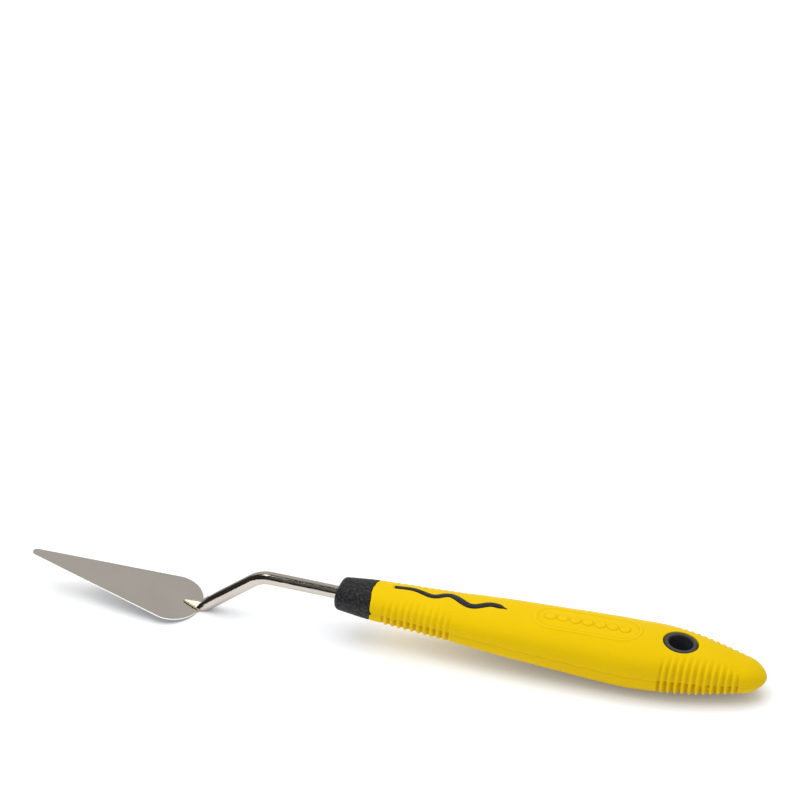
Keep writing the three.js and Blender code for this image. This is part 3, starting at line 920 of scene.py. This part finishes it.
def soft_grip_material():
    """Satin yellow rubber: colour drift, painted shade in its grooves and a painted highlight on its
    crests, moulded grain and mottled gloss.
    """
    n = Nodes("soft_grip")
    drift = n.ramp(n.noise(70, 4, 0.55), 0.3, 0.7)
    colour = n.mix(drift, (0.765, 0.508, 0.0009), (0.795, 0.533, 0.0012))
    # Painted shade and highlight: by the surface's curvature, hollows such as the grooves are painted
    # darker and crests are painted paler.
    curve = n.add("ShaderNodeNewGeometry").outputs["Pointiness"]
    colour = n.mix(n.ramp(curve, 0.5, 0.462), colour, (0.56, 0.33, 0.0005))
    colour = n.mix(n.ramp(curve, 0.506, 0.54, 0, 0.8), colour, (0.87, 0.6, 0.003))
    specks = n.ramp(n.noise(900, 2, 0.6), 0.7, 0.82)
    colour = n.mix(n.ramp(specks, 0, 1, 0, 0.25), colour, (0.6, 0.37, 0.001))
    gloss = n.ramp(n.noise(240, 5, 0.6), 0.3, 0.7, 0.4, 0.5)
    grain = n.bump(n.noise(3400, 3, 0.6), 0.00002, 0.35)
    skin = n.bump(n.noise(420, 3, 0.5), 0.00004, 0.3, grain)
    return n.finish(colour, gloss, skin, Specular_IOR_Level=0.06)


def hard_core_material():
    """Black plastic with a coarse, sparkling eroded texture."""
    n = Nodes("hard_core")
    fleck = n.ramp(n.noise(1500, 2, 0.75), 0.46, 0.74)
    colour = n.mix(fleck, (0.0075, 0.007, 0.008), (0.058, 0.056, 0.06))
    gloss = n.ramp(n.noise(1300, 3, 0.6), 0.3, 0.75, 0.42, 0.66)
    coarse = n.bump(n.noise(1500, 4, 0.62, 0.6), 0.00011, 0.9)
    fine = n.bump(n.noise(5200, 2, 0.5), 0.00003, 0.6, coarse)
    return n.finish(colour, gloss, fine, Specular_IOR_Level=0.3)


def wave_material():
    """The same black plastic, smoother, with a few glossy rubbed places."""
    n = Nodes("hard_core_smooth")
    drift = n.ramp(n.noise(600, 3, 0.6), 0.35, 0.75)
    colour = n.mix(drift, (0.008, 0.0078, 0.009), (0.017, 0.0168, 0.0185))
    gloss = n.ramp(n.noise(330, 3, 0.6), 0.35, 0.65, 0.24, 0.46)
    normal = n.bump(n.noise(1500, 4, 0.6), 0.00006, 0.7)
    return n.finish(colour, gloss, normal, Specular_IOR_Level=0.36)


def bush_material():
    """Grey-black plastic with a fine even grain."""
    n = Nodes("hard_core_bush")
    drift = n.ramp(n.noise(500, 3, 0.6), 0.3, 0.7)
    colour = n.mix(drift, (0.034, 0.034, 0.038), (0.046, 0.046, 0.051))
    gloss = n.ramp(n.noise(700, 3, 0.6), 0.3, 0.7, 0.34, 0.48)
    normal = n.bump(n.noise(2600, 3, 0.6), 0.00003, 0.5)
    return n.finish(colour, gloss, normal, Specular_IOR_Level=0.45)


def plated_rod_material():
    """Bright nickel plate with hairline scratches along it."""
    n = Nodes("plated_rod")
    along = n.stretched((180, 5200, 5200))
    hairs = n.ramp(n.noise(1.0, 3, 0.6, 0.3, along), 0.56, 0.72)
    dull = n.ramp(n.noise(160, 4, 0.6), 0.35, 0.7, 0.045, 0.12)
    colour = n.mix(n.ramp(n.noise(130, 3, 0.5), 0.3, 0.7), (0.57, 0.51, 0.445), (0.63, 0.57, 0.505))
    waviness = n.bump(n.noise(190, 2, 0.4), 0.00005, 0.16)
    scratched = n.bump(hairs, 0.00001, 0.7, waviness)
    return n.finish(colour, dull, scratched, Metallic=1.0)


def spring_steel_material():
    """Spring steel: long soft waves, fine lengthwise lines, mottling, and a painted highlight along the
    edges.
    """
    n = Nodes("spring_steel")
    lines = n.noise(1.0, 3, 0.6, 0.2, n.stretched((90, 3600, 3600)))
    colour = n.mix(n.ramp(n.noise(110, 4, 0.6), 0.3, 0.7), (0.575, 0.53, 0.478), (0.615, 0.57, 0.518))
    # Painted highlight: faces that do not face up or down, the blade's edges, are given a near-white
    # colour as a bright painted line.
    upright = n.add("ShaderNodeSeparateXYZ")
    n.link(n.facing, upright.inputs["Vector"])
    flat = n.ramp(n.absolute(upright.outputs["Z"]), 0.3, 0.8)
    colour = n.mix(flat, (0.95, 0.92, 0.87), colour)
    gloss = n.ramp(n.noise(220, 4, 0.6), 0.3, 0.7, 0.12, 0.2)
    waves = n.bump(n.noise(1.0, 2, 0.4, 0.5, n.stretched((40, 90, 90))), 0.0001, 0.04)
    brushed = n.bump(lines, 0.000008, 0.35, waves)
    return n.finish(colour, gloss, brushed, Metallic=1.0)


def braze_material():
    """Flowed brass: pale gold, puddled, with a few duller oxide spots."""
    n = Nodes("braze")
    spots = n.ramp(n.noise(1500, 3, 0.6), 0.52, 0.7)
    colour = n.mix(spots, (0.9, 0.75, 0.45), (0.62, 0.45, 0.24))
    gloss = n.ramp(n.noise(900, 3, 0.6), 0.3, 0.7, 0.14, 0.36)
    normal = n.bump(n.noise(1700, 3, 0.55), 0.00007, 0.7)
    return n.finish(colour, gloss, normal, Metallic=1.0)


def floor_material():
    """White acrylic that glows faintly, with a painted contact shadow where the knife comes close: both
    the glow and the colour are darkened there.
    """
    n = Nodes("studio_floor")
    # Painted contact shadow: the floor's glow and its colour both drop where the knife comes close.
    painted_shadow_occlusion = n.add("ShaderNodeAmbientOcclusion", Distance=0.008)
    painted_shadow_occlusion.samples = 8
    outside_painted_shadow = n.ramp(painted_shadow_occlusion.outputs["AO"], 0.1, 0.9)
    shade = n.mix(outside_painted_shadow, (0.38, 0.38, 0.4), (1.0, 1.0, 1.0))
    tone = n.mix(n.ramp(n.noise(3, 3, 0.5), 0.3, 0.7), (0.65, 0.665, 0.69), (0.66, 0.675, 0.7))
    tone = n.mix(outside_painted_shadow, (0.44, 0.455, 0.485), tone)
    n.link(shade, n.shader.inputs["Emission Color"])
    return n.finish(tone, Roughness=0.9, Specular_IOR_Level=0.1, Emission_Strength=0.38)


# ---- Studio --------------------------------------------------------------------------------------


def make_floor():
    """A wide sheet, a hair under the lowest point of the knife."""
    reach = 6.0
    height = -0.0001
    corners = [(-reach, -reach), (reach, -reach), (reach, reach), (-reach, reach)]
    mesh = bpy.data.meshes.new("floor")
    mesh.from_pydata([(x, y, height) for x, y in corners], [], [(0, 1, 2, 3)])
    floor = bpy.data.objects.new("floor", mesh)
    bpy.context.scene.collection.objects.link(floor)
    mesh.materials.append(floor_material())


def panel(tree, direction, towards, tones):
    """Tone of one soft panel of the room, by how nearly a ray points at the panel's middle."""
    facing = tree.nodes.new("ShaderNodeVectorMath")
    facing.operation = "DOT_PRODUCT"
    facing.inputs[1].default_value = Vector(towards).normalized()
    tree.links.new(direction, facing.inputs[0])
    ramp = tree.nodes.new("ShaderNodeValToRGB")
    tree.links.new(facing.outputs["Value"], ramp.inputs["Fac"])
    stops = ramp.color_ramp.elements
    while len(stops) < len(tones):
        stops.new(0.5)
    for stop, (height, tone) in zip(stops, tones):
        stop.position = height
        stop.color = (tone, tone, tone * 0.985, 1)
    return ramp.outputs["Color"]


def mixed(tree, factor, first, second, blend="MIX"):
    """Mixes two colours, the second a socket or a tone."""
    mix = tree.nodes.new("ShaderNodeMix")
    mix.data_type = "RGBA"
    mix.blend_type = blend
    below, above = [socket for socket in mix.inputs if socket.type == "RGBA"]
    tree.links.new(first, below)
    if isinstance(second, float):
        above.default_value = (second, second, second, 1)
    else:
        tree.links.new(second, above)
    if isinstance(factor, float):
        mix.inputs["Factor"].default_value = factor
    else:
        tree.links.new(factor, mix.inputs["Factor"])
    return next(socket for socket in mix.outputs if socket.type == "RGBA")


def make_world():
    """A pale room that lights evenly; mirrors see it dark, with one panel behind and one at the side."""
    world = bpy.data.worlds.new("studio")
    bpy.context.scene.world = world
    world.use_nodes = True
    tree = world.node_tree
    direction = tree.nodes.new("ShaderNodeTexCoord").outputs["Generated"]
    behind_tones = [(0.0, 0.03), (0.62, 0.05), (0.8, 0.56), (1.0, 0.62)]
    aside_tones = [(0.0, 0.03), (0.52, 0.04), (0.68, 0.42), (1.0, 0.55)]
    behind = panel(tree, direction, (-0.23, 0.79, 0.57), behind_tones)
    aside = panel(tree, direction, (0.7, -0.45, 0.55), aside_tones)
    colour = mixed(tree, 1.0, behind, aside, "LIGHTEN")
    path = tree.nodes.new("ShaderNodeLightPath")
    colour = mixed(tree, path.outputs["Is Diffuse Ray"], colour, 0.46)
    colour = mixed(tree, path.outputs["Is Camera Ray"], colour, 1.0)
    tree.links.new(colour, tree.nodes["Background"].inputs["Color"])


def make_light(name, place_at, aim, size, power, mirrored=False):
    """A soft box; it shows in glossy surfaces only if mirrored."""
    light = bpy.data.lights.new(name, "AREA")
    light.shape = "RECTANGLE"
    light.size, light.size_y = size
    light.energy = power
    obj = bpy.data.objects.new(name, light)
    obj.location = place_at
    obj.rotation_euler = (Vector(aim) - Vector(place_at)).to_track_quat("-Z", "Y").to_euler()
    obj.visible_glossy = mirrored
    bpy.context.scene.collection.objects.link(obj)


def make_camera():
    """A long lens, held a hair off level, aimed above and behind the knife."""
    azimuth, elevation, roll = (math.radians(angle) for angle in (16.36, 30.08, 0.387))
    distance = 1.1
    aim = Vector((-0.0076, 0.0366, 0.0592))
    back = Vector((
        math.sin(azimuth) * math.cos(elevation),
        -math.cos(azimuth) * math.cos(elevation),
        math.sin(elevation),
    ))
    data = bpy.data.cameras.new("camera")
    data.lens = 167.6
    data.sensor_width = 36.0
    data.clip_end = 50
    camera = bpy.data.objects.new("camera", data)
    camera.location = aim + back * distance
    level = Euler((math.pi / 2 - elevation, 0, azimuth)).to_matrix()
    camera.rotation_euler = (level @ Matrix.Rotation(-roll, 3, "Z")).to_euler()
    bpy.context.scene.collection.objects.link(camera)
    bpy.context.scene.camera = camera


# ---- Assembly ------------------------------------------------------------------------------------

bpy.context.scene.view_settings.view_transform = "Standard"
make_camera()
make_floor()
make_world()
make_light("overhead", (-0.1, 0.15, 0.95), (0, 0, 0), (1.4, 1.1), 9.6)
make_light("fill", (-0.3, -1.0, 0.7), (0, 0, 0), (1.0, 1.0), 1.4)
make_light("glint", (-0.126, -0.043, 0.24), (-0.068, 0, 0), (0.09, 0.07), 0.04, mirrored=True)

grip = place(make_grip(), HANDLE_FRAME, soft_grip_material())
nose = place(make_nose(), HANDLE_FRAME, hard_core_material())
wave = place(make_wave(), HANDLE_FRAME, wave_material())
bush = place(make_bush(), HANDLE_FRAME, bush_material())
rod = place(make_rod(), BLADE_FRAME, plated_rod_material(), math.radians(20))
braze = place(make_braze(), BLADE_FRAME, braze_material())
blade = place(make_blade(), BLADE_FRAME, spring_steel_material())

for piece in (grip, nose, wave, bush, rod, braze):
    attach(piece, "knife")
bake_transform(blade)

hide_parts("grip")
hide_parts("handle_core")
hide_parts("shank")
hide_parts("braze_fillet")
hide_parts("blade", "blade_heel")
